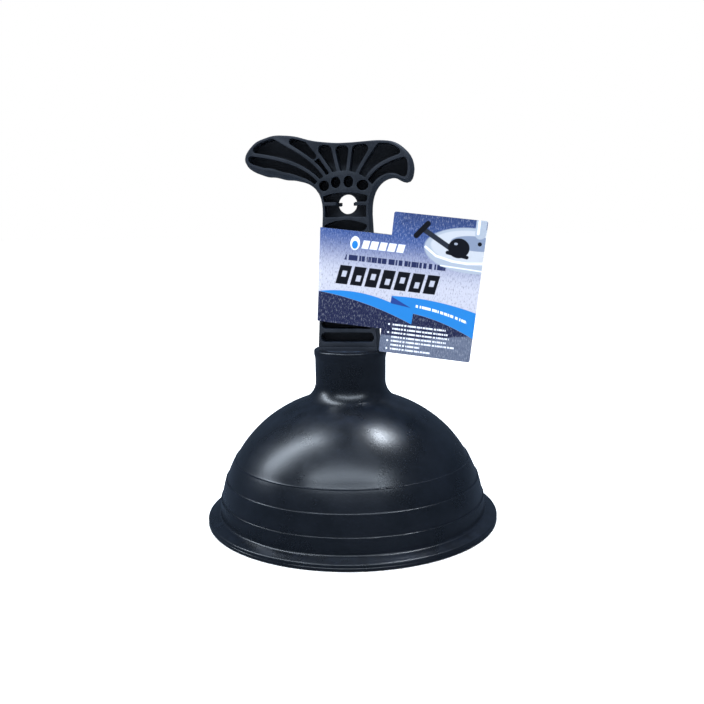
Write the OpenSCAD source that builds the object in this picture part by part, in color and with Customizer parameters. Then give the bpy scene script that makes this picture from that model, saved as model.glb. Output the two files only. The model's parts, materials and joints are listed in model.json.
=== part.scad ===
// Sink plunger: a one-piece rubber cup, a one-piece moulded T handle pressed
// into the cup's neck, and a printed card sleeve wrapped round the shank.
// Millimetres. The origin is the middle of the rim plane, +Z is up the handle,
// and the palm faces of the handle look along -Y (front) and +Y (back).

/* [Cup] */
// Outer diameter of the sealing flange
flange_d = 152; // [144:1:180]
// Thickness of the flange at its edge
flange_t = 3.6; // [2.5:0.1:5]
// Thickness of the flange where it meets the dome
flange_root_t = 5; // [4:0.1:7]
// Diameter of the smooth crown of the dome, carried down to its foot
dome_d = 136.4; // [110:0.2:138]
// Height of the crown above the foot of the dome
dome_h = 61.8; // [45:0.5:75]
// Rubber wall at the foot of the dome
wall = 3.8; // [2.5:0.1:6]
// Rubber thickness at the middle of the crown
crown_t = 5; // [3:0.1:8]
// How far each band stands out from the band above it
band_step = 0.5; // [0.2:0.1:1]
// Heights of the upper edges of the bands
band_z = [13, 23, 33];

/* [Neck] */
// Outer diameter of the neck
neck_d = 36.6; // [32:0.2:44]
// Height of the top of the neck above the rim plane
neck_z = 89; // [84:0.5:100]
// Radius of the fillet between the dome and the neck
neck_fillet = 10.5; // [4:0.5:14]
// How far the lip stands out at the top of the neck
lip = 0.6; // [0.2:0.1:1.5]
// Rubber between the bell and the bottom of the socket
socket_floor = 4; // [3:0.1:6]

/* [Handle plug] */
// Diameter of the plug inside the neck
plug_d = 30; // [26:0.2:31]
// How far each barb stands out from the plug
barb = 0.8; // [0.4:0.1:1]
// Number of barbs on the plug
barbs = 3; // [1:1:3]
// Height of one barb
barb_h = 3; // [2:0.5:4]
// Gap all round the plug inside the rubber
plug_gap = 0.1; // [0.05:0.05:0.3]
// Wall of the hollow plug, and its cross web
plug_wall = 2.5; // [1.5:0.1:4]

/* [Handle shank] */
// Overall height of the plunger's handle above the rim plane
grip_z = 196.4; // [190:0.2:225]
// Front to back depth of the handle
handle_t = 21; // [18:0.5:24]
// Thickness of the web between the front and back pockets
web_t = 3; // [2:0.2:5]
// Width of the shank's face just above the neck
shank_foot_w = 29.8; // [24:0.2:31]
// Width of the shank's face below the grip
shank_top_w = 22.6; // [18:0.2:24]
// How far the shank's sides stand out at mid-depth
shank_crown = 0.4; // [0:0.1:1]
// Height of the slots in the shank
slot_h = 5.2; // [4:0.1:6]
// Rib between two slots
slot_rib = 1.7; // [1:0.1:3]
// Solid band between the neck and the lowest slot
foot_band = 4.4; // [3:0.1:8]

/* [Grip] */
// Reach of the long arm from the middle of the shank
long_arm = 49.4; // [44:0.2:60]
// Reach of the short arm from the middle of the shank
short_arm = 31.8; // [28:0.2:40]
// Margin between a pocket and the edge of the face
margin = 0.9; // [0.6:0.1:2]
// Width of a rib at the hub of the fan
rib_w = 1.5; // [1:0.1:2.5]
// Radius of the corners of the pockets
pocket_r = 0.6; // [0.4:0.1:1]
// Radius of the outer corners of the pockets under the palm
palm_r = 2.4; // [1:0.1:3]
// Radius of the outer corners of the pockets in the two arms
arm_r = 1.6; // [1:0.1:2]
// Diameter of the hole that the plunger hangs by
hang_d = 9.7; // [6:0.1:12]
// Length of the two nubs that stand into the hole
nub = 1.8; // [0:0.1:3]

/* [Card sleeve] */
// Width of the flag
flag_w = 45.6; // [30:0.2:60]
// Height of the flag
flag_h = 69.6; // [50:0.2:80]
// Height of the band that goes round the shank
band_h = 46.6; // [30:0.2:54]
// Thickness of the card
card_t = 0.5; // [0.3:0.1:1]
// Gap between the card and the shank
card_gap = 0.3; // [0.2:0.05:1]
// How far the card droops on the shank
droop = 7; // [0:0.5:10]
// Length over which the two leaves are glued in the flag
glue_w = 36; // [20:1:44]

/* [Hidden] */
round_fn = 96;
EPS = 0.01;

// ---- curves ----
function mix(a, b, t) = a + (b - a) * t;
// Cubic curve through four control points
function cubic(p, t) =
    pow(1 - t, 3) * p[0] + 3 * pow(1 - t, 2) * t * p[1] + 3 * (1 - t) * t * t * p[2] + pow(t, 3) * p[3];
// Smooth curve between two nodes [x, z, heading, ...], bulging with their distance
function joining(a, b) = let (reach = 0.36 * norm([b[0] - a[0], b[1] - a[1]])) [
    [a[0], a[1]],
    [a[0], a[1]] + reach * [cos(a[2]), sin(a[2])],
    [b[0], b[1]] - reach * [cos(b[2]), sin(b[2])],
    [b[0], b[1]]];
function wrap(i, n) = (i + n) % n;

// ---- cup ----
flange_r = flange_d / 2;
dome_r = dome_d / 2;
dome_z = flange_root_t;
neck_r = neck_d / 2;
foot_r = dome_r + len(band_z) * band_step;
bell_r = dome_r - wall;
bell_h = dome_h - crown_t;
socket_z = dome_z + bell_h + socket_floor;
// Radius and height of the crown at an angle above its foot
function crown_at(a) = [dome_r * cos(a), dome_z + dome_h * sin(a)];
function crown_out(a) = let (n = [cos(a) / dome_r, sin(a) / dome_h]) n / norm(n);
// Angle on the crown where the fillet to the neck starts
function fillet_angle(lo, hi, tries = 30) = tries == 0 ? lo :
    let (a = (lo + hi) / 2, r = (crown_at(a) + neck_fillet * crown_out(a))[0])
    r > neck_r + neck_fillet ? fillet_angle(a, hi, tries - 1) : fillet_angle(lo, a, tries - 1);
fillet_a = fillet_angle(20, 89);
fillet_c = crown_at(fillet_a) + neck_fillet * crown_out(fillet_a);
fillet_start = atan2(-crown_out(fillet_a)[1], -crown_out(fillet_a)[0]);
// Angle on the crown at a height
function angle_at(z) = asin((z - dome_z) / dome_h);
// One band of the dome, from height z0 to z1, standing out by step
function band(z0, z1, step, n = 5) = [for (i = [0 : n])
    crown_at(angle_at(mix(z0, z1, i / n))) + [step, 0]];
band_edges = concat([dome_z], band_z);

// Broken edges of the flange: below, above, and where the dome stands on it
rim_break = 0.6;
edge_break = 0.8;
lip_h = 5;
crown_steps = 16;
fillet_steps = 8;
crown_start = angle_at(band_z[len(band_z) - 1]);
function fillet_at(t) = let (a = mix(fillet_start, -180, t)) fillet_c + neck_fillet * [cos(a), sin(a)];

module cup_outside() {
    polygon(concat(
        [[0, 0], [flange_r - rim_break, 0], [flange_r, rim_break]],
        [[flange_r, flange_t - edge_break], [flange_r - edge_break, flange_t]],
        [[foot_r + edge_break, dome_z], [foot_r, dome_z + rim_break]],
        [for (b = [0 : len(band_z) - 1]) each band(
            b == 0 ? dome_z + edge_break : band_edges[b],
            band_edges[b + 1],
            (len(band_z) - b) * band_step)],
        [for (i = [0 : crown_steps]) crown_at(mix(crown_start, fillet_a, i / crown_steps))],
        [for (i = [1 : fillet_steps]) fillet_at(i / fillet_steps)],
        [[neck_r, neck_z - lip_h], [neck_r + lip, neck_z - lip_h / 2], [neck_r + lip, neck_z - 1]],
        [[neck_r + lip - 1, neck_z], [0, neck_z]]
    ));
}

mouth_break = 1.2;
module cup_bell() {
    mouth_r = bell_r + mouth_break;
    polygon(concat(
        [[0, -1], [mouth_r, -1], [mouth_r, 0], [bell_r, mouth_break], [bell_r, dome_z]],
        [for (a = [6 : 6 : 84]) [bell_r * cos(a), dome_z + bell_h * sin(a)]],
        [[0, dome_z + bell_h]]
    ));
}

module rubber_cup() {
    color([0.13, 0.15, 0.18])
    difference() {
        rotate_extrude($fn = round_fn) difference() {
            cup_outside();
            cup_bell();
        }
        plug_solid(plug_gap);
    }
}

// ---- plug ----
plug_r = plug_d / 2;
plug_bottom = socket_z;
plug_len = neck_z - plug_bottom;
barb_pitch = plug_len / (barbs + 0.5);

barb_flat = 0.5;
barb_back = 0.3;

// The plug, or with a gap its socket in the rubber
module plug_solid(gap = 0) {
    top = gap > 0 ? neck_z + 1 : neck_z;
    foot = gap > 0 ? plug_bottom : plug_bottom + plug_gap;
    r = plug_r + gap;
    rotate_extrude($fn = round_fn) polygon(concat(
        [[0, foot], [r - 1, foot], [r, plug_bottom + 1]],
        [for (i = [0 : barbs - 1]) each let (z = plug_bottom + 2 + i * barb_pitch) [
            [r, z - gap],
            [r + barb, z + barb_h - barb_flat - gap],
            [r + barb, z + barb_h + gap],
            [r, z + barb_h + barb_back + gap]]],
        [[r, top], [0, top]]
    ));
}

module plug() {
    difference() {
        plug_solid();
        difference() {
            translate([0, 0, plug_bottom - 1])
                cylinder(h = plug_len - plug_wall, r = plug_r - plug_wall, $fn = round_fn);
            cube([plug_wall, plug_d, 4 * neck_z], center = true);
            cube([plug_d, plug_wall, 4 * neck_z], center = true);
        }
    }
}

// ---- handle ----
half_t = handle_t / 2;
foot_x = shank_foot_w / 2;
top_x = shank_top_w / 2;
// Height of the middle of the hang hole, and of the shank's narrow end
hang_z = grip_z - 33.9;
waist_z = hang_z - 5;
// Half width of the shank's face at a height
function shank_x(z) = mix(foot_x, top_x, (z - neck_z) / (waist_z - neck_z));
L = long_arm;
R = short_arm;
T = grip_z;
// Edge of the face, clockwise from the foot: [x, z, heading, crown at mid-depth]
face_nodes = [
    [-foot_x, neck_z, 87, shank_crown],
    [-top_x, waist_z, 89, shank_crown],
    [-0.29 * L, T - 26.6, 130, 0.8],
    [-0.44 * L, T - 21.6, 160, 1.2],
    [-0.59 * L, T - 19.3, 174, 2.2],
    [-0.68 * L, T - 18.0, 160, 2.6],
    [-0.79 * L, T - 16.8, 177, 3.0],
    [-0.92 * L, T - 15.2, 165, 2.6],
    [-L, T - 11.2, 88, 1.8],
    [-0.93 * L, T - 5.0, 50, 1.0],
    [-0.79 * L, T - 1.4, 20, 0.7],
    [-0.63 * L, T - 0.4, -4, 0.4],
    [-0.43 * L, T - 2.1, -19, 0.6],
    [-0.16 * L, T - 4.6, -6, 0.7],
    [0, T - 4.9, 1, 0.7],
    [0.37 * R, T - 4.3, 4, 0.7],
    [0.66 * R, T - 4.5, -6, 0.8],
    [0.89 * R, T - 8.4, -44, 1.2],
    [R, T - 17.0, -92, 1.8],
    [0.93 * R, T - 22.6, 180, 1.2],
    [0.74 * R, T - 20.6, 176, 0.7],
    [0.50 * R, T - 23.6, -135, 0.6],
    [top_x + 0.6, T - 31.4, -102, 0.5],
    [top_x, waist_z, -91, shank_crown],
    [foot_x, neck_z, -87, shank_crown]
];
// Steps in each curved stretch of the edge, and through the crown
curve_steps = 5;
layers = 6;
// Points along one stretch of the edge, with the crown as a third number
function stretch(a, b, n) = let (p = joining(a, b)) [for (i = [0 : n - 1])
    let (q = cubic(p, i / n)) [q[0], q[1], mix(a[3], b[3], i / n)]];
face_edge = [for (k = [0 : len(face_nodes) - 1])
    let (a = face_nodes[k], b = face_nodes[wrap(k + 1, len(face_nodes))])
    each stretch(a, b, k == 0 || k >= len(face_nodes) - 2 ? 1 : curve_steps)];
edge_n = len(face_edge);
function flat(p) = [p[0], p[1]];
// Outward direction of the edge at a point
function edge_out(i) = let (
    a = flat(face_edge[wrap(i - 1, edge_n)]),
    b = flat(face_edge[wrap(i + 1, edge_n)]),
    d = (b - a) / norm(b - a)) [-d[1], d[0]];
// The edge at one depth: the face at front and back, crowned between
function layer(k) = let (a = -90 + 180 * k / layers) [for (i = [0 : edge_n - 1])
    let (p = face_edge[i],
        q = flat(p) + p[2] * cos(a) * (p[1] > neck_z + EPS ? edge_out(i) : [sign(p[0]), 0]))
    [q[0], half_t * sin(a), q[1]]];

// The flat faces fan out from two points, one in each half of the grip, and
// the halves meet on a line from the middle of the top edge to the left foot
top_middle = 1 + curve_steps * (search(0, [for (n = face_nodes) n[0]])[0] - 1);
left_heart = [-6, T - 10.9];
right_heart = [7, T - 8.9];

module handle_body() {
    back = layers * edge_n;
    hearts = (layers + 1) * edge_n;
    // Order: left and right on the front face, then left and right on the back
    function heart(i) = i < top_middle ? 0 : 1;
    polyhedron(
        points = concat(
            [for (k = [0 : layers]) each layer(k)],
            [for (y = [-half_t, half_t], p = [left_heart, right_heart]) [p[0], y, p[1]]]
        ),
        faces = concat(
            [for (i = [0 : edge_n - 1]) let (j = wrap(i + 1, edge_n)) each concat(
                [[hearts + heart(i), i, j], [hearts + 2 + heart(i), back + j, back + i]],
                [for (k = [0 : layers - 1])
                    [k * edge_n + i, (k + 1) * edge_n + i, (k + 1) * edge_n + j, k * edge_n + j]]
            )],
            [[hearts, top_middle, 0], [hearts + 1, 0, top_middle]],
            [[hearts + 2, back, back + top_middle], [hearts + 3, back + top_middle, back]]
        )
    );
}

// Centre lines of the ribs of the fan, from the hub to the edge, and their width at the edge
fan_ribs = [
    [[-13, T - 22.4], [-0.43 * L, T - 13.9], [-0.65 * L, T - 10.9], [-1.03 * L, T - 8.4], 1.6],
    [[-10.2, T - 19.9], [-0.30 * L, T - 12.4], [-0.49 * L, T - 7.4], [-0.74 * L, T], 2.0],
    [[-6.8, T - 19.0], [-0.20 * L, T - 13.9], [-0.28 * L, T - 8.9], [-0.40 * L, T - 1.0], 2.6],
    [[-2.9, T - 18.9], [-4.0, T - 14.4], [-5.4, T - 10.0], [-6.2, T - 2.5], 1.6],
    [[1.4, T - 18.9], [0.06 * R, T - 14.4], [0.09 * R, T - 9.0], [0.11 * R, T - 2.5], 1.6],
    [[6.2, T - 19.4], [0.25 * R, T - 14.9], [0.37 * R, T - 10.4], [0.53 * R, T - 2.5], 2.4],
    [[10.8, T - 21.9], [0.47 * R, T - 15.4], [0.69 * R, T - 12.4], [1.06 * R, T - 10.0], 2.0]
];
hub_r = 18.4;
hub_c = [-1, T - 36.4];
rib_steps = 10;
// Side of a rib: side is 1 for left and -1 for right
function rib_side(p, side) = [for (i = [0 : rib_steps])
    let (t = i / rib_steps, d = cubic(p, t + EPS) - cubic(p, t - EPS), w = mix(rib_w, p[4], pow(t, 4)))
    cubic(p, t) + side * w / 2 * [-d[1], d[0]] / norm(d)];
module fan_rib(p) {
    far_side = rib_side(p, -1);
    polygon(concat(rib_side(p, 1), [for (i = [rib_steps : -1 : 0]) far_side[i]]));
}

module face_outline() {
    polygon([for (p = face_edge) flat(p)]);
}

corner_fn = 20;
arc_fn = 60;
// Rounds the corners of the pockets drawn inside it
module rounded(r) {
    offset(r = r, $fn = corner_fn) offset(delta = -r) children();
}
module fan_gaps() {
    difference() {
        offset(delta = -margin) face_outline();
        for (rib = fan_ribs) fan_rib(rib);
        translate(hub_c) circle(r = hub_r, $fn = arc_fn);
        translate([-foot_x, 0]) square([2 * foot_x, hub_c[1]]);
    }
}
// The pockets are full and round outside, and run to a point near the hub
palm_w = 28;
point_l = 9;
module fan_pockets() {
    rounded(palm_r) fan_gaps();
    intersection() {
        rounded(arm_r) fan_gaps();
        for (s = [-1, 1]) translate([s * (palm_w / 2 + L), T]) square(2 * L, center = true);
    }
    intersection() {
        rounded(pocket_r) fan_gaps();
        translate(hub_c) circle(r = hub_r + point_l, $fn = arc_fn);
    }
}

// The row of four small pockets round the hub: [x, z, width, height]
hub_pockets = [
    [-10.4, T - 25.1, 5.2, 5.2],
    [-4.6, T - 23.5, 4.9, 5.7],
    [1.7, T - 23.3, 4.9, 5.8],
    [8.7, T - 25.1, 6.0, 5.2]
];
module hub_row() {
    for (p = hub_pockets) translate([p[0], p[1]]) scale([p[2], p[3]]) circle(d = 1, $fn = corner_fn);
}

// The pocket round the hang hole lies between two arcs, over a solid arch
arch_z = hang_z - 30.5;
arch_r = 24.3;
arch_w = 1.6;
hang_arc_z = hang_z - 30;
hang_arc_r = 35.6;
// How far the pocket goes below the middle of the hole
hang_reach = 6.6;
module hang_pocket() {
    rounded(pocket_r) difference() {
        intersection() {
            offset(delta = -margin) face_outline();
            translate([0, hang_arc_z]) circle(r = hang_arc_r, $fn = arc_fn);
        }
        translate([0, arch_z]) circle(r = arch_r, $fn = arc_fn);
        translate([-foot_x, 0]) square([2 * foot_x, hang_z - hang_reach]);
        translate([0, hang_z]) square([2 * foot_x, rib_w], center = true);
    }
}

slot_pitch = slot_h + slot_rib;
slot_z = neck_z + foot_band;
slot_top = arch_z + arch_r - arch_w;
slots = floor((slot_top - slot_z + slot_rib) / slot_pitch);
// One slot with round ends across the shank, from height z up
module slot(z, h) {
    w = 2 * (shank_x(z + h / 2) - margin);
    translate([0, z + h / 2]) intersection() {
        square([w, h], center = true);
        union() {
            square([w - slot_h, h], center = true);
            for (s = [-1, 1]) translate([s * (w - slot_h) / 2, 0]) circle(d = slot_h, $fn = corner_fn);
        }
    }
}

module ladder() {
    for (i = [0 : slots - 2]) slot(slot_z + i * slot_pitch, slot_h);
    last = slot_z + (slots - 1) * slot_pitch;
    intersection() {
        slot(last, slot_top - last);
        translate([0, arch_z]) circle(r = arch_r - arch_w, $fn = arc_fn);
    }
}

pocket_depth = half_t - web_t / 2;
module pockets() {
    for (side = [0, 180]) rotate([90, 0, side]) {
        translate([0, 0, web_t / 2]) linear_extrude(pocket_depth + 1) mirror([side == 0 ? 0 : 1, 0]) {
            fan_pockets();
            hub_row();
            hang_pocket();
            ladder();
        }
    }
}

// A groove across both faces of the band above the neck
groove_h = 0.6;
groove_depth = 0.4;
module foot_groove() {
    for (y = [-half_t, half_t]) translate([0, y, neck_z + foot_band / 2])
        cube([2 * foot_x + 2, 2 * groove_depth, groove_h], center = true);
}

// The level rib's ends, which stand into the hole from a root in the web
nub_root = 1;
module hang_nubs() {
    for (s = [-1, 1]) translate([s * (hang_d - nub + nub_root) / 2, 0, hang_z])
        cube([nub + nub_root, web_t, rib_w], center = true);
}

module handle() {
    color([0.15, 0.16, 0.18])
    union() {
        difference() {
            handle_body();
            pockets();
            foot_groove();
            translate([0, 0, hang_z]) rotate([90, 0, 0])
                cylinder(h = handle_t + 10, d = hang_d, center = true, $fn = round_fn);
        }
        hang_nubs();
        plug();
    }
}

// ---- card sleeve ----
front_y = half_t + card_gap;
// The flag's corner next to the shank, where its left edge meets its top
flag_corner = [24.4, neck_z + 69.3];
down = [-sin(droop), -cos(droop)];
across = [cos(droop), -sin(droop)];
band_drop = (flag_h - band_h) / 2;
band_corner = flag_corner + band_drop * down;
// From the edge of the shank's face to the outside of the card
side_gap = shank_crown + card_gap + card_t;
// Top and bottom of the band where it folds round the shank's left side
function fold_point(p) = let (
    reach = (p[0] + shank_x(p[1]) + side_gap) / across[0],
    q = p - reach * across,
    again = (p[0] + shank_x(q[1]) + side_gap) / across[0]) p - again * across;
fold_top = fold_point(band_corner);
fold_foot = fold_point(band_corner + band_h * down);
back_x = shank_x(fold_foot[1]) + side_gap;
glue_x = flag_corner[0] + flag_w - glue_w;
// The back leaf ends this far short of the flag's right edge
leaf_short = 0.6;

module front_leaf() {
    translate([0, -front_y, 0]) rotate([90, 0, 0]) linear_extrude(card_t) polygon([
        flag_corner,
        flag_corner + flag_w * across,
        flag_corner + flag_w * across + flag_h * down,
        flag_corner + flag_h * down,
        band_corner + band_h * down,
        fold_foot,
        fold_top,
        band_corner
    ]);
}

// All that lies between the band's upper and lower edges
module band_slice() {
    rotate([90, 0, 0]) linear_extrude(4 * half_t, center = true) polygon([
        fold_top,
        band_corner + (flag_w - leaf_short) * across,
        band_corner + (flag_w - leaf_short) * across + band_h * down,
        fold_foot
    ]);
}

module left_wall() {
    rotate([90, 0, 0]) linear_extrude(2 * front_y + 2 * card_t, center = true) polygon([
        fold_top,
        fold_top + [card_t, 0],
        fold_foot + [card_t, 0],
        fold_foot
    ]);
}

// The back leaf: behind the shank, then slanting forward to the flag
module back_leaf() {
    intersection() {
        band_slice();
        linear_extrude(2 * grip_z) polygon([
            [-2 * foot_x, front_y],
            [-2 * foot_x, front_y + card_t],
            [back_x, front_y + card_t],
            [glue_x + card_t, card_t - front_y],
            [glue_x + 2 * flag_w, card_t - front_y],
            [glue_x + 2 * flag_w, -front_y],
            [glue_x, -front_y],
            [back_x - card_t, front_y]
        ]);
    }
}

module card_sleeve() {
    color([0.55, 0.68, 0.88])
    union() {
        front_leaf();
        left_wall();
        back_leaf();
    }
}

rubber_cup();
handle();
card_sleeve();
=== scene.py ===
"""A sink plunger on a pale studio floor: a rubber cup, a moulded T handle and a printed card sleeve.

Metres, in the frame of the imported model: the origin is the middle of the rim
plane, +Z is up the handle and -Y is the front. Sizes below are in millimetres
and go through MM.
"""
import json
import math

import bpy
from mathutils import Matrix, Vector

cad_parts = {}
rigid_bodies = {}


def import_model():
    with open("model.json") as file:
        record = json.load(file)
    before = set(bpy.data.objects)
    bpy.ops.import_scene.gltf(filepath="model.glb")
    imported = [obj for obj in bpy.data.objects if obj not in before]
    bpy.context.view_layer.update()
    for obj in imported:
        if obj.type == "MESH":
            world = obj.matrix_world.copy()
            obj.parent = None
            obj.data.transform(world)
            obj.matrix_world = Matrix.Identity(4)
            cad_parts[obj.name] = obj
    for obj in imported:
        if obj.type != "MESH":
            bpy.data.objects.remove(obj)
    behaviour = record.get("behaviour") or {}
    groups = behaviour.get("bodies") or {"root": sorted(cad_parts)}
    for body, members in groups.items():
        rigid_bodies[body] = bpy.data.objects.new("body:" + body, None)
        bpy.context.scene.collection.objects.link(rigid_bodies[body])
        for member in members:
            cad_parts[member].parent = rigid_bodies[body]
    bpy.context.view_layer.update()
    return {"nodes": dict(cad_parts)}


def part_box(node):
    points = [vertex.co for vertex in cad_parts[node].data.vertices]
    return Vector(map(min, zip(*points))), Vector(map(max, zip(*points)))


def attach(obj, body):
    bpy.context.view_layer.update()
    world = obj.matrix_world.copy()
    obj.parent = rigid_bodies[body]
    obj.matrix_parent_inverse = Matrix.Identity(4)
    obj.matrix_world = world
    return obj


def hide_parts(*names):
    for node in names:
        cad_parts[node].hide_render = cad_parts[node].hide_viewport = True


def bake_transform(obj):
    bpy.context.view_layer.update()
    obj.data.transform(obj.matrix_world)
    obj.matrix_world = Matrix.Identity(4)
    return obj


MM = 0.001

bpy.ops.object.select_all(action="SELECT")
bpy.ops.object.delete()
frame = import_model()


# ---------------------------------------------------------------- modelling helpers
def deselect_all():
    bpy.ops.object.select_all(action="DESELECT")


def activate(piece):
    deselect_all()
    piece.select_set(True)
    bpy.context.view_layer.objects.active = piece


def begin_edit(piece, mode="VERT"):
    """Goes into edit mode with nothing selected."""
    activate(piece)
    bpy.ops.object.mode_set(mode="EDIT")
    bpy.ops.mesh.select_mode(type=mode)
    bpy.ops.mesh.select_all(action="DESELECT")


def end_edit():
    bpy.ops.object.mode_set(mode="OBJECT")


def choose(piece, kind, test):
    """In edit mode, selects just the vertices, edges or faces that pass the test."""
    bpy.ops.mesh.select_mode(type=kind)
    bpy.ops.mesh.select_all(action="DESELECT")
    bpy.ops.object.mode_set(mode="OBJECT")
    mesh = piece.data
    parts = {"VERT": mesh.vertices, "EDGE": mesh.edges, "FACE": mesh.polygons}[kind]
    count = 0
    for part in parts:
        if test(part):
            part.select = True
            count += 1
    bpy.ops.object.mode_set(mode="EDIT")
    return count


def apply_modifiers(piece):
    activate(piece)
    for modifier in list(piece.modifiers):
        bpy.ops.object.modifier_apply(modifier=modifier.name)


def settle(piece):
    """Puts the piece's place into its mesh, so that its object sits at the origin."""
    activate(piece)
    bpy.ops.object.transform_apply(location=True, rotation=True, scale=True)


def finish_piece(piece, name, body, material, replaced):
    piece.name = name
    piece.data.name = name
    piece.data.materials.clear()
    for one in material:
        piece.data.materials.append(one)
    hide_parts(replaced)
    if body:
        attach(piece, body)


# ---------------------------------------------------------------- node helpers
def new_group(name, inputs, outputs):
    """A shader node group with named sockets: inputs are (name, type, value)."""
    group = bpy.data.node_groups.new(name, "ShaderNodeTree")
    for label, kind, value in inputs:
        socket = group.interface.new_socket(label, in_out="INPUT", socket_type=kind)
        if value is not None:
            socket.default_value = value
    for label, kind in outputs:
        group.interface.new_socket(label, in_out="OUTPUT", socket_type=kind)
    return group


class Tree:
    """Short ways to add nodes to a tree and to wire them up."""

    def __init__(self, tree):
        self.tree = tree
        self.count = 0

    def node(self, kind, **settings):
        made = self.tree.nodes.new(kind)
        made.location = (180 * (self.count % 12), -220 * (self.count // 12))
        self.count += 1
        for key, value in settings.items():
            setattr(made, key, value)
        return made

    def wire(self, value, socket):
        """Links a socket, or sets a plain value."""
        if isinstance(value, bpy.types.NodeSocket):
            self.tree.links.new(value, socket)
        else:
            socket.default_value = value

    def math(self, operation, a, b=0.0, c=None, clamp=False):
        made = self.node("ShaderNodeMath", operation=operation, use_clamp=clamp)
        self.wire(a, made.inputs[0])
        self.wire(b, made.inputs[1])
        if c is not None:
            self.wire(c, made.inputs[2])
        return made.outputs[0]

    def vector(self, operation, a, b=None):
        made = self.node("ShaderNodeVectorMath", operation=operation)
        self.wire(a, made.inputs[0])
        if b is not None:
            self.wire(b, made.inputs[1])
        return made.outputs["Value" if operation in ("LENGTH", "DOT_PRODUCT") else "Vector"]

    def parts(self, vector):
        made = self.node("ShaderNodeSeparateXYZ")
        self.wire(vector, made.inputs[0])
        return made.outputs["X"], made.outputs["Y"]

    def noise(self, vector, scale, detail=2.0, roughness=0.5, dimensions="3D", out="Fac"):
        made = self.node("ShaderNodeTexNoise", noise_dimensions=dimensions)
        self.wire(vector, made.inputs["W" if dimensions == "1D" else "Vector"])
        self.wire(scale, made.inputs["Scale"])
        self.wire(detail, made.inputs["Detail"])
        self.wire(roughness, made.inputs["Roughness"])
        return made.outputs[out]

    def ramp(self, value, low, high, out_low=0.0, out_high=1.0, smooth=True):
        """Maps low..high to out_low..out_high and stays flat outside."""
        made = self.node("ShaderNodeMapRange", interpolation_type="SMOOTHSTEP" if smooth else "LINEAR")
        self.wire(value, made.inputs["Value"])
        self.wire(low, made.inputs["From Min"])
        self.wire(high, made.inputs["From Max"])
        self.wire(out_low, made.inputs["To Min"])
        self.wire(out_high, made.inputs["To Max"])
        return made.outputs["Result"]

    def mix(self, mask, under, over, blend="MIX"):
        """Colour mix: under where the mask is 0 and over where it is 1."""
        made = self.node("ShaderNodeMix", data_type="RGBA", blend_type=blend)
        self.wire(mask, made.inputs["Factor"])
        self.wire(under, made.inputs["A"])
        self.wire(over, made.inputs["B"])
        return made.outputs["Result"]

    def group(self, group, **values):
        made = self.node("ShaderNodeGroup", node_tree=group)
        for key, value in values.items():
            self.wire(value, made.inputs[key.replace("_", " ")])
        return made

    def inputs(self):
        return self.node("NodeGroupInput").outputs

    def output(self, **values):
        made = self.node("NodeGroupOutput")
        for key, value in values.items():
            self.wire(value, made.inputs[key.replace("_", " ")])


def srgb(red, green, blue):
    """A colour given on the 0 to 255 scale of a paint chart, as linear light."""
    def linear(v):
        v = v / 255
        return v / 12.92 if v <= 0.04045 else ((v + 0.055) / 1.055) ** 2.4
    return (linear(red), linear(green), linear(blue), 1.0)


def new_material(name):
    material = bpy.data.materials.new(name)
    material.use_nodes = True
    tree = Tree(material.node_tree)
    shader = material.node_tree.nodes["Principled BSDF"]
    return material, tree, shader


# ---------------------------------------------------------------- shared surface effects
def make_grain():
    """Moulded grain: a fine relief over a slow swell, as a height from 0 to 1."""
    group = new_group(
        "Moulded grain",
        [("Grain scale", "NodeSocketFloat", 1500.0), ("Swell scale", "NodeSocketFloat", 60.0),
         ("Swell share", "NodeSocketFloat", 0.5)],
        [("Height", "NodeSocketFloat")])
    t = Tree(group)
    given = t.inputs()
    place = t.node("ShaderNodeTexCoord").outputs["Object"]
    fine = t.noise(place, given["Grain scale"], 3.0, 0.6)
    slow = t.noise(place, given["Swell scale"], 2.0, 0.5)
    made = t.node("ShaderNodeMix", data_type="FLOAT")
    t.wire(given["Swell share"], made.inputs["Factor"])
    t.wire(fine, made.inputs["A"])
    t.wire(slow, made.inputs["B"])
    t.output(Height=made.outputs["Result"])
    return group


def make_bloom():
    """Cloudy bloom on black goods: two sizes of soft blotches with fine specks in them."""
    group = new_group(
        "Bloom",
        [("Cloud scale", "NodeSocketFloat", 45.0), ("Speck scale", "NodeSocketFloat", 900.0)],
        [("Cloud", "NodeSocketFloat"), ("Speck", "NodeSocketFloat")])
    t = Tree(group)
    given = t.inputs()
    place = t.node("ShaderNodeTexCoord").outputs["Object"]
    cloud = t.ramp(t.noise(place, given["Cloud scale"], 4.0, 0.6), 0.35, 0.68)
    speck = t.ramp(t.noise(place, given["Speck scale"], 2.0, 0.7), 0.56, 0.72)
    t.output(Cloud=cloud, Speck=speck)
    return group


def make_dust():
    """Dust that has settled where the surface looks up, in uneven patches."""
    group = new_group(
        "Settled dust",
        [("Patch scale", "NodeSocketFloat", 120.0), ("Steepest", "NodeSocketFloat", 0.55)],
        [("Dust", "NodeSocketFloat")])
    t = Tree(group)
    given = t.inputs()
    place = t.node("ShaderNodeTexCoord").outputs["Object"]
    upward = t.node("ShaderNodeSeparateXYZ")
    t.wire(t.node("ShaderNodeNewGeometry").outputs["Normal"], upward.inputs[0])
    facing = t.ramp(upward.outputs["Z"], given["Steepest"], 1.0)
    patch = t.ramp(t.noise(place, given["Patch scale"], 5.0, 0.65), 0.38, 0.7)
    t.output(Dust=t.math("MULTIPLY", facing, patch))
    return group


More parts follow.
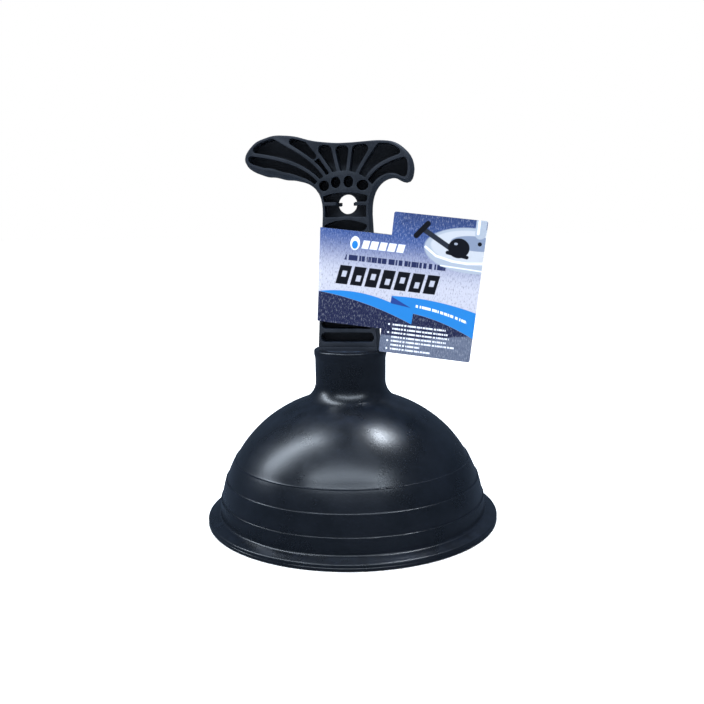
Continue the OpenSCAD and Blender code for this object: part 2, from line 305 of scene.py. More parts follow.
def make_worn_and_lit_edge():
    """Rubbed edges, partly wear and partly a painted highlight where light catches them: 1 where the
    surface turns sharply outwards.
    """
    group = new_group(
        "Rubbed edge and painted highlight",
        [("Radius", "NodeSocketFloat", 0.0006), ("Patch scale", "NodeSocketFloat", 200.0)],
        [("Edge", "NodeSocketFloat")])
    t = Tree(group)
    given = t.inputs()
    place = t.node("ShaderNodeTexCoord").outputs["Object"]
    rounded = t.node("ShaderNodeBevel", samples=4)
    t.wire(given["Radius"], rounded.inputs["Radius"])
    flat = t.node("ShaderNodeNewGeometry").outputs["Normal"]
    turned = t.node("ShaderNodeVectorMath", operation="DOT_PRODUCT")
    t.wire(rounded.outputs["Normal"], turned.inputs[0])
    t.wire(flat, turned.inputs[1])
    sharp = t.ramp(turned.outputs["Value"], 0.995, 0.9, 0.0, 1.0)
    patch = t.ramp(t.noise(place, given["Patch scale"], 3.0, 0.6), 0.3, 0.7, 0.45, 1.0)
    t.output(Edge=t.math("MULTIPLY", sharp, patch))
    return group


grain_group = make_grain()
bloom_group = make_bloom()
dust_group = make_dust()
worn_and_lit_edge_group = make_worn_and_lit_edge()


# ---------------------------------------------------------------- rubber and plastic
def make_rubber():
    """Black-navy moulded rubber: satin, cloudy, with a fine grain that breaks up the shine."""
    material, t, shader = new_material("moulded rubber")
    bloom = t.group(bloom_group, Cloud_scale=38.0, Speck_scale=1100.0)
    dust = t.group(dust_group, Patch_scale=160.0, Steepest=0.5)
    colour = t.mix(bloom.outputs["Cloud"], srgb(6, 10, 16), srgb(11, 16, 24))
    colour = t.mix(t.math("MULTIPLY", bloom.outputs["Speck"], 0.14), colour, srgb(40, 50, 68))
    colour = t.mix(t.math("MULTIPLY", dust.outputs["Dust"], 0.05), colour, srgb(70, 84, 110))
    t.wire(colour, shader.inputs["Base Color"])
    rough = t.ramp(bloom.outputs["Cloud"], 0.0, 1.0, 0.27, 0.31)
    rough = t.math("ADD", rough, t.math("MULTIPLY", bloom.outputs["Speck"], 0.04))
    t.wire(rough, shader.inputs["Roughness"])
    grain = t.group(grain_group, Grain_scale=1300.0, Swell_scale=90.0, Swell_share=0.35)
    bump = t.node("ShaderNodeBump")
    bump.inputs["Strength"].default_value = 0.22
    bump.inputs["Distance"].default_value = 0.00022
    t.wire(grain.outputs["Height"], bump.inputs["Height"])
    t.wire(bump.outputs["Normal"], shader.inputs["Normal"])
    shader.inputs["Specular IOR Level"].default_value = 0.5
    return material


def make_plastic():
    """Black moulded polypropylene: matte, faintly blue, paler on its edges, partly from rubbing and partly
    a painted highlight.
    """
    material, t, shader = new_material("handle plastic")
    bloom = t.group(bloom_group, Cloud_scale=60.0, Speck_scale=1400.0)
    edge = t.group(worn_and_lit_edge_group, Radius=0.0005, Patch_scale=260.0)
    dust = t.group(dust_group, Patch_scale=220.0, Steepest=0.6)
    colour = t.mix(bloom.outputs["Cloud"], srgb(20, 27, 36), srgb(27, 34, 45))
    # Paler edges: partly rubbed wear, partly a painted highlight where light catches the rims.
    colour = t.mix(t.math("MULTIPLY", edge.outputs["Edge"], 0.4), colour, srgb(52, 62, 78))
    colour = t.mix(t.math("MULTIPLY", dust.outputs["Dust"], 0.3), colour, srgb(78, 92, 116))
    t.wire(colour, shader.inputs["Base Color"])
    rough = t.ramp(bloom.outputs["Cloud"], 0.0, 1.0, 0.44, 0.54)
    t.wire(rough, shader.inputs["Roughness"])
    grain = t.group(grain_group, Grain_scale=2000.0, Swell_scale=140.0, Swell_share=0.3)
    bump = t.node("ShaderNodeBump")
    bump.inputs["Strength"].default_value = 0.4
    bump.inputs["Distance"].default_value = 0.00015
    t.wire(grain.outputs["Height"], bump.inputs["Height"])
    t.wire(bump.outputs["Normal"], shader.inputs["Normal"])
    return material


rubber = make_rubber()
plastic = make_plastic()


# ---------------------------------------------------------------- rubber cup
cup_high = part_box("rubber_cup")[1]
PLUG_GAP = 0.1
FLANGE_R = cup_high.x / MM
NECK_TOP = cup_high.z / MM
SOCKET_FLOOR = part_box("handle")[0].z / MM - PLUG_GAP
DOME_R = 68.2
DOME_H = 61.8
DOME_FOOT = 5.0
BELL_R = DOME_R - 3.8
BELL_H = DOME_H - 5.0
BAND_TOPS = (13.0, 23.0, 33.0)
BAND_STEP = 0.5
NECK_R = 18.3
LIP_R = NECK_R + 0.6
FILLET = 10.5
SOCKET_R = 15.1
CUP_SIDES = 176


def arc(centre, radius, start, stop, steps):
    """Points [r, z] on an arc; angles in degrees from straight outwards."""
    return [
        (centre[0] + radius * math.cos(math.radians(start + (stop - start) * i / steps)),
         centre[1] + radius * math.sin(math.radians(start + (stop - start) * i / steps)))
        for i in range(steps + 1)]


def dome(z, step=0.0):
    """A point on the dome at a height, or on the band that stands out from it by step."""
    return (DOME_R * math.sqrt(max(0.0, 1 - ((z - DOME_FOOT) / DOME_H) ** 2)) + step, z)


def crown_fillet():
    """The concave fillet between the crown and the neck: (contact height, arc)."""
    low, high = 20.0, 89.0
    for _ in range(40):
        angle = math.radians((low + high) / 2)
        out = Vector((math.cos(angle) / DOME_R, math.sin(angle) / DOME_H)).normalized()
        touch = Vector((DOME_R * math.cos(angle), DOME_FOOT + DOME_H * math.sin(angle)))
        centre = touch + FILLET * out
        if centre.x > NECK_R + FILLET:
            low = (low + high) / 2
        else:
            high = (low + high) / 2
    start = math.degrees(math.atan2(-out.y, -out.x)) + 360
    return touch.y, arc(centre, FILLET, start, 180, 10)


def cup_outline():
    """The cup's section, from the middle of the bell out and up to the middle of the socket."""
    points = [(0, DOME_FOOT + BELL_H)]
    for i in range(1, 24):
        angle = math.radians(90 - 90 * i / 24)
        points.append((BELL_R * math.cos(angle), DOME_FOOT + BELL_H * math.sin(angle)))
    points += [(BELL_R, DOME_FOOT), (BELL_R, 2.6)]
    points += arc((BELL_R + 1.2, 1.2), 1.2, 180, 270, 5)
    points += [(BELL_R + 4, 0), (FLANGE_R - 3, 0)]
    # Flange: rounded edge with a faint parting line at mid-thickness
    points += arc((FLANGE_R - 0.9, 0.9), 0.9, -90, 0, 4)
    points += [(FLANGE_R, 1.7), (FLANGE_R - 0.12, 1.85), (FLANGE_R, 2.0)]
    points += arc((FLANGE_R - 0.9, 2.7), 0.9, 0, 80, 5)
    foot = DOME_R + len(BAND_TOPS) * BAND_STEP
    points += [(FLANGE_R - 3.0, 3.9), (foot + 1.4, 4.75)]
    points += arc((foot + 1.2, 5.9), 1.2, 262, 186, 4)
    # Bands, each with a rounded shoulder and a narrow ledge up to the next
    floor = 6.6
    for number, top in enumerate(BAND_TOPS):
        step = (len(BAND_TOPS) - number) * BAND_STEP
        height = top - 0.35 - floor
        points += [dome(floor + height * i / 5, step) for i in range(5)]
        points.append((dome(top - 0.55, step)[0] + 0.02, top - 0.55))
        points.append((dome(top, step)[0] + 0.16, top - 0.3))
        points.append((dome(top, step)[0] + 0.14, top - 0.08))
        points.append((dome(top, step)[0] - 0.02, top))
        points.append((dome(top, step)[0] - 0.34, top - 0.06))
        points.append((dome(top, step)[0] - BAND_STEP - 0.02, top + 0.12))
        floor = top + 0.4
    contact, fillet = crown_fillet()
    low = math.asin((BAND_TOPS[-1] + 0.5 - DOME_FOOT) / DOME_H)
    high = math.asin((contact - DOME_FOOT) / DOME_H)
    for i in range(22):
        angle = low + (high - low) * i / 22
        points.append((DOME_R * math.cos(angle), DOME_FOOT + DOME_H * math.sin(angle)))
    points += fillet
    # Neck with its rolled lip
    points += [(NECK_R, NECK_TOP - 12), (NECK_R, NECK_TOP - 8), (NECK_R + 0.02, NECK_TOP - 5)]
    points += [(NECK_R + 0.2, NECK_TOP - 4), (LIP_R - 0.1, NECK_TOP - 3), (LIP_R, NECK_TOP - 2.2)]
    points += arc((LIP_R - 1.1, NECK_TOP - 1.1), 1.1, 0, 90, 6)
    points += arc((SOCKET_R + 0.6, NECK_TOP - 0.6), 0.6, 90, 180, 4)
    # Socket, straight-walled down to its floor
    points += [(SOCKET_R, NECK_TOP - 3), (SOCKET_R, NECK_TOP - 8), (SOCKET_R, SOCKET_FLOOR + 1)]
    points += [(SOCKET_R - 1, SOCKET_FLOOR), (SOCKET_R / 2, SOCKET_FLOOR), (0, SOCKET_FLOOR)]
    return points


def build_cup():
    """Draws the section as a chain of points and spins it round the upright axis."""
    outline = cup_outline()
    bpy.ops.mesh.primitive_plane_add(size=MM)
    cup = bpy.context.active_object
    bpy.ops.object.mode_set(mode="EDIT")
    bpy.ops.mesh.select_all(action="SELECT")
    bpy.ops.mesh.merge(type="CENTER")
    here = Vector(outline[0])
    bpy.ops.transform.translate(value=(here.x * MM, 0, here.y * MM))
    for point in outline[1:]:
        step = (Vector(point) - here) * MM
        bpy.ops.mesh.extrude_vertices_move(TRANSFORM_OT_translate={"value": (step.x, 0, step.y)})
        here = Vector(point)
    bpy.ops.mesh.select_all(action="SELECT")
    bpy.ops.mesh.spin(steps=CUP_SIDES, angle=math.tau, center=(0, 0, 0), axis=(0, 0, 1))
    bpy.ops.mesh.select_all(action="SELECT")
    bpy.ops.mesh.remove_doubles(threshold=0.01 * MM)
    bpy.ops.mesh.normals_make_consistent(inside=False)
    end_edit()
    # Uneven wall, as moulded rubber has, that fades out at the rim
    above = cup.vertex_groups.new(name="above the rim")
    for vertex in cup.data.vertices:
        weight = min(1.0, max(0.0, (vertex.co.z / MM - 2.5) / 8))
        above.add([vertex.index], weight, "REPLACE")
    swell = bpy.data.textures.new("rubber swell", "CLOUDS")
    swell.noise_scale = 0.022
    swell.noise_depth = 1
    uneven = cup.modifiers.new("uneven", "DISPLACE")
    uneven.texture = swell
    uneven.texture_coords = "LOCAL"
    uneven.strength = 0.35 * MM
    uneven.mid_level = 0.5
    uneven.vertex_group = above.name
    apply_modifiers(cup)
    activate(cup)
    bpy.ops.object.shade_smooth_by_angle(angle=math.radians(38))
    finish_piece(cup, "rubber_bell", None, [rubber], "rubber_cup")
    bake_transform(cup)
    return cup


# ---------------------------------------------------------------- handle
FACE_Y = 10.5 * MM
EASE = 0.5


def edge_angle_above(angle):
    """In edit mode, selects the edges that fold by more than an angle."""
    bpy.ops.mesh.select_mode(type="EDGE")
    bpy.ops.mesh.select_all(action="DESELECT")
    bpy.ops.mesh.edges_select_sharp(sharpness=math.radians(angle))


def keep_selected(piece, test):
    """Of the edges that are selected, keeps those whose two ends pass the test."""
    bpy.ops.object.mode_set(mode="OBJECT")
    points = piece.data.vertices
    for edge in piece.data.edges:
        if edge.select and not all(test(points[i].co) for i in edge.vertices):
            edge.select = False
    bpy.ops.object.mode_set(mode="EDIT")


def build_handle():
    """A copy of the moulding with its face edges and pocket rims eased."""
    activate(frame["nodes"]["handle"])
    bpy.ops.object.duplicate()
    handle = bpy.context.active_object
    for key in list(handle.keys()):
        del handle[key]
    handle.parent = None
    begin_edit(handle)
    bpy.ops.mesh.select_all(action="SELECT")
    bpy.ops.mesh.remove_doubles(threshold=0.002 * MM)
    bpy.ops.mesh.select_all(action="SELECT")
    bpy.ops.mesh.dissolve_limited(angle_limit=math.radians(1.0))
    # Face edges and pocket rims
    edge_angle_above(35)
    keep_selected(handle, lambda co: abs(abs(co.y) - FACE_Y) < 0.02 * MM)
    bpy.ops.mesh.bevel(offset=EASE * MM, offset_type="OFFSET", segments=3, profile=0.5, clamp_overlap=True)
    end_edit()
    activate(handle)
    bpy.ops.object.shade_smooth_by_angle(angle=math.radians(40))
    finish_piece(handle, "moulded_handle", "handle", [plastic], "handle")
    return handle


# ---------------------------------------------------------------- card sleeve
def make_bar():
    """A soft-edged bar in card millimetres, slanted if asked."""
    group = new_group(
        "Print bar",
        [("Place", "NodeSocketVector", None), ("Centre", "NodeSocketVector", None),
         ("Half", "NodeSocketVector", None), ("Slant", "NodeSocketFloat", 0.0)],
        [("Mask", "NodeSocketFloat")])
    t = Tree(group)
    given = t.inputs()
    offset = t.vector("SUBTRACT", given["Place"], given["Centre"])
    across, down = t.parts(offset)
    half_across, half_down = t.parts(given["Half"])
    sheared = t.math("MULTIPLY_ADD", down, given["Slant"], across)
    side = t.math("SUBTRACT", t.math("ABSOLUTE", sheared), half_across)
    end = t.math("SUBTRACT", t.math("ABSOLUTE", down), half_down)
    t.output(Mask=t.ramp(t.math("MAXIMUM", side, end), 0.12, -0.12))
    return group


def make_oval():
    group = new_group(
        "Print oval",
        [("Place", "NodeSocketVector", None), ("Centre", "NodeSocketVector", None),
         ("Radii", "NodeSocketVector", (1, 1, 1))],
        [("Mask", "NodeSocketFloat")])
    t = Tree(group)
    given = t.inputs()
    offset = t.vector("SUBTRACT", given["Place"], given["Centre"])
    share = t.vector("DIVIDE", offset, given["Radii"])
    t.output(Mask=t.ramp(t.vector("LENGTH", share), 1.03, 0.97))
    return group


def make_stroke():
    """A round-ended stroke between two points in card millimetres."""
    group = new_group(
        "Print stroke",
        [("Place", "NodeSocketVector", None), ("From", "NodeSocketVector", None),
         ("To", "NodeSocketVector", None), ("Half", "NodeSocketFloat", 0.5)],
        [("Mask", "NodeSocketFloat")])
    t = Tree(group)
    given = t.inputs()
    reach = t.vector("SUBTRACT", given["Place"], given["From"])
    run = t.vector("SUBTRACT", given["To"], given["From"])
    reached = t.vector("DOT_PRODUCT", reach, run)
    along = t.math("DIVIDE", reached, t.vector("DOT_PRODUCT", run, run), clamp=True)
    nearest = t.node("ShaderNodeVectorMath", operation="SCALE")
    t.wire(run, nearest.inputs[0])
    t.wire(along, nearest.inputs["Scale"])
    gap = t.vector("LENGTH", t.vector("SUBTRACT", reach, nearest.outputs[0]))
    beyond = t.math("SUBTRACT", gap, given["Half"])
    t.output(Mask=t.ramp(beyond, 0.14, -0.14))
    return group


bar_group = make_bar()
oval_group = make_oval()
stroke_group = make_stroke()

# The card laid flat: the width and height that its map covers, and where the width starts
UNROLLED = (200.0, 80.0)
UNROLLED_START = -130.0
INK_STRENGTH = 0.56


def ink(red, green, blue):
    """A printed colour, held down because the card stands in bright studio light."""
    return tuple(v * INK_STRENGTH for v in srgb(red, green, blue)[:3]) + (1.0,)


RIBBON = ink(8, 146, 240)
WHITE = srgb(214, 220, 232)
INK = ink(12, 16, 32)
NAVY = ink(34, 48, 104)


class Print:
    """Builds the printed face up in layers, each a colour over the ones before."""

    def __init__(self, tree):
        self.t = tree
        spot = tree.node("ShaderNodeUVMap", uv_map="unrolled").outputs["UV"]
        u, v = tree.parts(spot)
        self.a = tree.math("MULTIPLY_ADD", u, UNROLLED[0], UNROLLED_START)
        self.d = tree.math("MULTIPLY", v, UNROLLED[1])
        joined = tree.node("ShaderNodeCombineXYZ")
        tree.wire(self.a, joined.inputs["X"])
        tree.wire(self.d, joined.inputs["Y"])
        self.place = joined.outputs[0]
        self.colour = None

    def lay(self, mask, colour):
        self.colour = self.t.mix(mask, self.colour, colour)

    def bar(self, colour, centre, half, slant=0.0, within=None):
        mask = self.t.group(bar_group, Place=self.place, Centre=(*centre, 0), Half=(*half, 0), Slant=slant)
        mask = mask.outputs["Mask"]
        if within is not None:
            mask = self.t.math("MULTIPLY", mask, within)
        self.lay(mask, colour)

    def oval(self, colour, centre, radii, within=None):
        mask = self.t.group(oval_group, Place=self.place, Centre=(*centre, 0), Radii=(*radii, 1))
        mask = mask.outputs["Mask"]
        if within is not None:
            mask = self.t.math("MULTIPLY", mask, within)
        self.lay(mask, colour)

    def stroke(self, colour, start, stop, half):
        mask = self.t.group(stroke_group, Place=self.place, From=(*start, 0), To=(*stop, 0), Half=half)
        self.lay(mask.outputs["Mask"], colour)

    def curve(self, level, bend, middle):
        """The height of a shallow curve across the card: level + bend (a - middle)^2."""
        off = self.t.math("SUBTRACT", self.a, middle)
        return self.t.math("MULTIPLY_ADD", self.t.math("MULTIPLY", off, off), bend, level)

    def past(self, value, limit, soft=0.15):
        """1 where value is over limit."""
        over = self.t.math("SUBTRACT", value, limit)
        return self.t.ramp(over, -soft, soft)

    def either(self, mask, low, high):
        """low where the mask is 0 and high where it is 1."""
        made = self.t.node("ShaderNodeMix", data_type="FLOAT")
        self.t.wire(mask, made.inputs["Factor"])
        self.t.wire(low, made.inputs["A"])
        self.t.wire(high, made.inputs["B"])
        return made.outputs["Result"]

    def dashes(self, scale, low=0.42):
        """Uneven dashes across the card that stand for lettering too small to read."""
        worn = self.t.noise(self.a, scale, 1.0, 0.5, "1D")
        return self.t.ramp(worn, low, low + 0.04)


def print_picture(page):
    """The picture at the top right: a basin with a tap and a small plunger over it."""
    page.oval(ink(196, 208, 226), (40, 15), (23.5, 11))
    page.oval(ink(226, 232, 243), (40, 13.6), (20.5, 8.2))
    page.oval(ink(150, 166, 196), (41, 11.4), (12, 3.6))
    page.stroke(ink(196, 208, 226), (42.7, 0.6), (42.7, 6.5), 2.6)
    page.stroke(WHITE, (41.6, 0.6), (41.6, 6.5), 0.6)
    page.oval(INK, (43, 11.4), (1, 1))
    for start, stop in (((17.1, 15.4), (22.7, 19.2)), ((22.7, 19.2), (30.8, 21)),
                        ((30.8, 21), (38.1, 21.4)), ((38.1, 21.4), (46.5, 20.4))):
        page.stroke(WHITE, start, stop, 0.55)
    page.stroke(WHITE, (25.5, 23.6), (46.5, 24.4), 0.3)
    page.stroke(ink(40, 48, 66), (15, 7), (28.3, 14.3), 1.25)
    page.stroke(INK, (12.0, 10.4), (17.0, 4.2), 1.35)
    page.oval(INK, (33.2, 14.4), (5.2, 4.8))
    page.stroke(INK, (28.0, 17.0), (37.6, 18.4), 0.9)
    page.oval(ink(180, 190, 210), (31.6, 12.4), (0.9, 0.6))


def print_titles(page):
    page.oval(WHITE, (-17.6, 17.4), (2.4, 3.4))
    page.oval(RIBBON, (-17.6, 18.2), (1.5, 2.0))
    for middle, half in ((-12.2, 1.6), (-8.0, 1.8), (-3.6, 1.7), (0.8, 1.8), (5.2, 1.7)):
        page.bar(WHITE, (middle, 17.6), (half, 2.0), 0.2)
    page.bar(NAVY, (3.2, 24.7), (25, 1.35), 0.2, page.dashes(0.75))
    for number in range(7):
        middle = -21.6 + 7.3 * number
        page.bar(INK, (middle, 33.5), (2.95, 4.7), 0.18)
        page.bar(ink(214, 218, 236), (middle + 0.2, 33.0 + 1.6 * (number % 2)), (1.15, 1.5), 0.18)


def print_ribbon(page):
    t = page.t
    near_left = page.past(page.a, 3.3)
    near_point = page.past(page.a, 14.8)
    top = page.either(near_left, page.curve(41.3, 0.0072, -18.0), page.curve(40.9, 0.0036, 12.0))
    foot = page.either(near_point, page.curve(42.66, 0.0034, -43.5), page.curve(48.2, 0.006, 5.6))
    on_front = page.past(page.a, -34.0)
    below = t.math("MULTIPLY", page.past(page.d, foot), on_front)
    page.lay(below, ink(20, 32, 84))
    edge = t.ramp(page.a, 18.0, 46.0, 61.0, 56.8)
    page.lay(t.math("MULTIPLY", page.past(page.d, edge, 0.4), on_front), ink(116, 128, 156))
    band = t.math("MULTIPLY", t.math("MULTIPLY", page.past(page.d, top), page.past(foot, page.d)), on_front)
    page.lay(band, RIBBON)
    fold_top = t.math("MULTIPLY_ADD", page.a, 0.4545, 39.92)
    fold_foot = t.math("MULTIPLY_ADD", page.a, 0.112, 44.57)
    fold = t.math("MULTIPLY", page.past(page.d, fold_top), page.past(fold_foot, page.d))
    page.lay(t.math("MULTIPLY", fold, near_left), ink(24, 74, 168))
    middle = t.math("MULTIPLY", t.math("ADD", top, foot), 0.5)
    off = t.math("ABSOLUTE", t.math("SUBTRACT", page.d, middle))
    slogan = t.math("MULTIPLY", t.ramp(off, 0.75, 0.55), t.ramp(page.a, 15.7, 16.0))
    slogan = t.math("MULTIPLY", slogan, t.ramp(page.a, 41.8, 41.4))
    page.lay(t.math("MULTIPLY", slogan, page.dashes(0.95)), WHITE)
    return t.math("SUBTRACT", 1.0, band)


def print_notes(page):
    for row in (55.3, 59.4, 63.5, 67.5):
        page.oval(WHITE, (3.7, row), (0.5, 0.5))
    rows = ((55.3, 32), (57.4, 33.5), (59.4, 34), (61.5, 32.7), (63.5, 37.2), (65.5, 20), (67.5, 26))
    words = page.dashes(1.3, 0.4)
    for row, stop in rows:
        page.bar(WHITE, ((5.5 + stop) / 2, row), ((stop - 5.5) / 2, 0.42), 0.0, words)


def make_card_print():
    """Coated card: blue denim fading to pale lilac, a cyan ribbon, blocks for titles and a picture."""
    material, t, shader = new_material("printed card")
    page = Print(t)
    fade = t.ramp(page.d, 11.0, 36.0)
    page.colour = t.mix(fade, ink(64, 98, 172), ink(228, 230, 248))
    top_right = t.math("MULTIPLY", t.ramp(page.a, -6.0, 8.0), t.ramp(page.d, 14.0, 0.0))
    page.lay(t.math("MULTIPLY", top_right, 0.7), ink(44, 66, 124))
    denim = print_ribbon(page)
    weave = t.vector("MULTIPLY", page.place, (1.0, 0.35, 1.0))
    thread = t.noise(weave, 1.7, 3.0, 0.75)
    page.lay(t.math("MULTIPLY", t.ramp(thread, 0.50, 0.72, 0.0, 0.36), denim), ink(232, 238, 250))
    page.lay(t.math("MULTIPLY", t.ramp(thread, 0.50, 0.30, 0.0, 0.55), denim), ink(20, 30, 70))
    print_titles(page)
    print_picture(page)
    print_notes(page)
    t.wire(page.colour, shader.inputs["Base Color"])
    t.wire(t.ramp(thread, 0.3, 0.7, 0.42, 0.50), shader.inputs["Roughness"])
    shader.inputs["Specular IOR Level"].default_value = 0.3
    shader.inputs["Coat Weight"].default_value = 0.12
    shader.inputs["Coat Roughness"].default_value = 0.18
    return material


def make_card_stock(name, colour, fleck):
    material, t, shader = new_material(name)
    place = t.node("ShaderNodeTexCoord").outputs["Object"]
    spot = t.noise(place, 1800.0, 3.0, 0.6)
    t.wire(t.mix(t.ramp(spot, 0.5, 0.72), colour, fleck), shader.inputs["Base Color"])
    t.wire(t.ramp(spot, 0.3, 0.7, 0.6, 0.75), shader.inputs["Roughness"])
    return material


FLAG_CORNER = Vector((24.4, 0, cup_high.z / MM + 69.3))
DROOP = math.radians(7)
FLAG_W = 45.6
FLAG_H = 69.6
BAND_TOP = 11.5
BAND_FOOT = 58.1
FRONT_Y = -11.05
BACK_SIDE_Y = 11.05
LEAF_Y = -10.5
GLUE_X = 34.0
LEAF_SHORT = 0.6
CARD_T = 0.5
CORNER_R = 1.0
TIGHT_FOLD = 1.6
SOFT_FOLD = 3.0


def card_place():
    """From the card's own millimetres (across, y, up from the flag's corner) to the frame."""
    return Matrix.Translation(FLAG_CORNER) @ Matrix.Rotation(DROOP, 4, "Y")


def fold_ends():
    """Where the band folds at its top and its foot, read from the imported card."""
    node = frame["nodes"]["card_sleeve"]
    inward = card_place().inverted()
    points = [inward @ (node.matrix_world @ v.co / MM) for v in node.data.vertices]
    ends = []
    for down in (BAND_TOP, BAND_FOOT):
        near = [p.x for p in points if abs(p.z + down) < 1.0]
        ends.append(min(near) + CARD_T / 2)
    return ends


def upright_line(x, down):
    """How far across the card an upright line at x in the frame is, at a height on the card."""
    return (x - FLAG_CORNER.x + down * math.sin(DROOP)) / math.cos(DROOP)


def build_card():
    """A flag with the band drawn out of its left edge, round the shank and back behind the flag."""
    fold_top, fold_foot = fold_ends()
    back_x = -min((card_place() @ Vector((fold_foot, 0, -BAND_FOOT))).x, 0) + 0.1
    bpy.ops.mesh.primitive_plane_add(size=MM, rotation=(math.pi / 2, 0, 0))
    card = bpy.context.active_object
    card.scale = (FLAG_W, FLAG_H, 1)
    card.location = (FLAG_W / 2 * MM, FRONT_Y * MM, -FLAG_H / 2 * MM)
    settle(card)
    begin_edit(card)
    for down in (BAND_TOP, BAND_FOOT):
        bpy.ops.mesh.select_all(action="SELECT")
        bpy.ops.mesh.bisect(plane_co=(0, 0, -down * MM), plane_no=(0, 0, 1))

    def at(co, x, y, z):
        return (co / MM - Vector((x, y, z))).length < 0.02

    columns = [
        (fold_top, fold_foot, FRONT_Y), (fold_top, fold_foot, BACK_SIDE_Y),
        (upright_line(back_x, BAND_TOP), upright_line(back_x, BAND_FOOT), BACK_SIDE_Y),
        (upright_line(GLUE_X, BAND_TOP), upright_line(GLUE_X, BAND_FOOT), LEAF_Y),
        (FLAG_W - LEAF_SHORT, FLAG_W - LEAF_SHORT, LEAF_Y)]
    edge_points = [Vector((0, FRONT_Y, -BAND_TOP)), Vector((0, FRONT_Y, -BAND_FOOT))]
    for top_x, foot_x, y in columns:
        choose(card, "VERT", lambda v: any(at(v.co, *p) for p in edge_points))
        bpy.ops.mesh.select_mode(type="EDGE")
        step = Vector((top_x, y, -BAND_TOP)) - edge_points[0]
        bpy.ops.mesh.extrude_edges_move(TRANSFORM_OT_translate={"value": step * MM})
        moved = edge_points[1] + step
        wanted = Vector((foot_x, y, -BAND_FOOT))
        choose(card, "VERT", lambda v: at(v.co, *moved))
        bpy.ops.transform.translate(value=(wanted - moved) * MM)
        edge_points = [Vector((top_x, y, -BAND_TOP)), wanted]
    # Folds: tight on the shank's left side, soft where the back leaf slants to the flag
    for number, width in ((0, TIGHT_FOLD), (1, TIGHT_FOLD), (2, SOFT_FOLD), (3, SOFT_FOLD)):
        top_x, foot_x, y = columns[number]
        ends = (Vector((top_x, y, -BAND_TOP)), Vector((foot_x, y, -BAND_FOOT)))
        choose(card, "VERT", lambda v: any(at(v.co, *p) for p in ends))
        bpy.ops.mesh.select_mode(type="EDGE")
        bpy.ops.mesh.bevel(offset=width * MM, segments=5, profile=0.5)
    # Rounded corners of the flag
    corners = [(x, FRONT_Y, z) for x in (0, FLAG_W) for z in (0, -FLAG_H)]
    choose(card, "VERT", lambda v: any(at(v.co, *p) for p in corners))
    bpy.ops.mesh.bevel(offset=CORNER_R * MM, segments=4, affect="VERTICES")
    end_edit()
    unroll_card(card, (fold_top + fold_foot) / 2)
    thick = card.modifiers.new("thick", "SOLIDIFY")
    thick.thickness = CARD_T * MM
    thick.offset = 0
    thick.material_offset = 1
    thick.material_offset_rim = 2
    materials = [
        make_card_print(),
        make_card_stock("card inside", srgb(206, 204, 200), srgb(182, 178, 172)),
        make_card_stock("card edge", srgb(238, 238, 236), srgb(214, 212, 208))]
    for one in materials:
        card.data.materials.append(one)
    apply_modifiers(card)
    card.matrix_world = Matrix.Translation(FLAG_CORNER * MM) @ Matrix.Rotation(DROOP, 4, "Y")
    settle(card)
    activate(card)
    bpy.ops.object.shade_smooth_by_angle(angle=math.radians(40))
    card.name = card.data.name = "printed_card_sleeve"
    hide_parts("card_sleeve")
    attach(card, "card")
    return card


def unroll_card(card, fold):
    """Gives every corner its place on the card laid flat."""
    bpy.ops.object.mode_set(mode="OBJECT")
    layer = card.data.uv_layers.new(name="unrolled")
    for face in card.data.polygons:
        middle = face.center / MM
        behind = middle.x > fold + 4 and middle.y > FRONT_Y + 0.2
        for corner in face.loop_indices:
            co = card.data.vertices[card.data.loops[corner].vertex_index].co / MM
            if behind:
                s = fold - 2 * BACK_SIDE_Y - (co.x - fold)
            elif co.y < 0:
                s = co.x - (co.y - FRONT_Y)
            else:
                s = fold - (co.y - FRONT_Y) - (co.x - fold)
            layer.data[corner].uv = ((s - UNROLLED_START) / UNROLLED[0], -co.z / UNROLLED[1])


# ---------------------------------------------------------------- studio
def area_light(name, azimuth, elevation, distance, size, power, colour):
    """A rectangular light that looks at the dome from an azimuth (0 is the front) and elevation."""
    flat = math.radians(azimuth)
    up = math.radians(elevation)
    target = Vector((0, 0, 0.05))
    out = Vector((math.sin(flat) * math.cos(up), -math.cos(flat) * math.cos(up), math.sin(up)))
    light = bpy.data.lights.new(name, "AREA")
    light.shape = "RECTANGLE"
    light.size, light.size_y = size
    light.energy = power
    light.color = colour
    lamp = bpy.data.objects.new(name, light)
    bpy.context.scene.collection.objects.link(lamp)
    aim = (-out).to_track_quat("-Z", "Y").to_matrix().to_4x4()
    lamp.matrix_world = Matrix.Translation(target + out * distance) @ aim
    return lamp


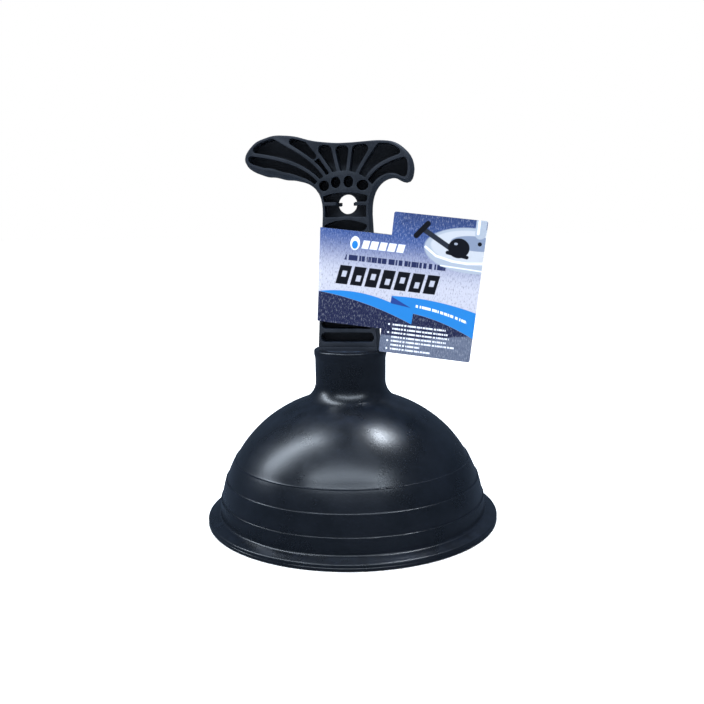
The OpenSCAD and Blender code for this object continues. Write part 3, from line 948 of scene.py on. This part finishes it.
def build_studio():
    bpy.ops.mesh.primitive_plane_add(size=60, location=(0, 0, 0))
    floor = bpy.context.active_object
    floor.name = "floor"
    material, t, shader = new_material("pale floor")
    mirrored = t.node("ShaderNodeLightPath").outputs["Is Glossy Ray"]
    t.wire(t.mix(mirrored, (0.95, 0.95, 0.95, 1), (0.05, 0.065, 0.09, 1)), shader.inputs["Base Color"])
    shader.inputs["Roughness"].default_value = 1.0
    shader.inputs["Specular IOR Level"].default_value = 0.0
    seen = t.node("ShaderNodeLightPath").outputs["Is Camera Ray"]
    t.wire(t.mix(seen, (0, 0, 0, 1), (1, 1, 1, 1)), shader.inputs["Emission Color"])
    shader.inputs["Emission Strength"].default_value = 0.12
    floor.data.materials.append(material)
    world = bpy.data.worlds.new("studio")
    bpy.context.scene.world = world
    world.use_nodes = True
    t = Tree(world.node_tree)
    background = world.node_tree.nodes["Background"]
    shiny = t.node("ShaderNodeLightPath").outputs["Is Glossy Ray"]
    t.wire(t.mix(shiny, (1.0, 1.0, 1.0, 1), (0.07, 0.10, 0.15, 1)), background.inputs["Color"])
    background.inputs["Strength"].default_value = 1.0
    area_light("left strip", -88, 48, 1.0, (0.16, 0.95), 9, (0.78, 0.88, 1.0))
    area_light("right lamp", 116, 69, 1.0, (0.19, 0.19), 7, (0.82, 0.90, 1.0))
    area_light("front strip", 4, 50, 1.0, (1.3, 0.17), 7.5, (0.76, 0.87, 1.0))


def build_camera():
    camera_data = bpy.data.cameras.new("camera")
    camera = bpy.data.objects.new("camera", camera_data)
    bpy.context.scene.collection.objects.link(camera)
    camera_data.sensor_width = 36
    camera_data.lens = 40.14
    camera_data.clip_start = 0.01
    yaw = Matrix.Rotation(math.radians(7.88), 4, "Z")
    pitch = Matrix.Rotation(math.radians(90 - 8.6), 4, "X")
    roll = Matrix.Rotation(math.radians(-0.85), 4, "Z")
    camera.matrix_world = Matrix.Translation((0.0562, -0.3998, 0.1480)) @ yaw @ pitch @ roll
    bpy.context.scene.camera = camera


build_camera()
build_studio()
build_cup()
build_handle()
build_card()
bpy.context.scene.view_settings.view_transform = "Standard"
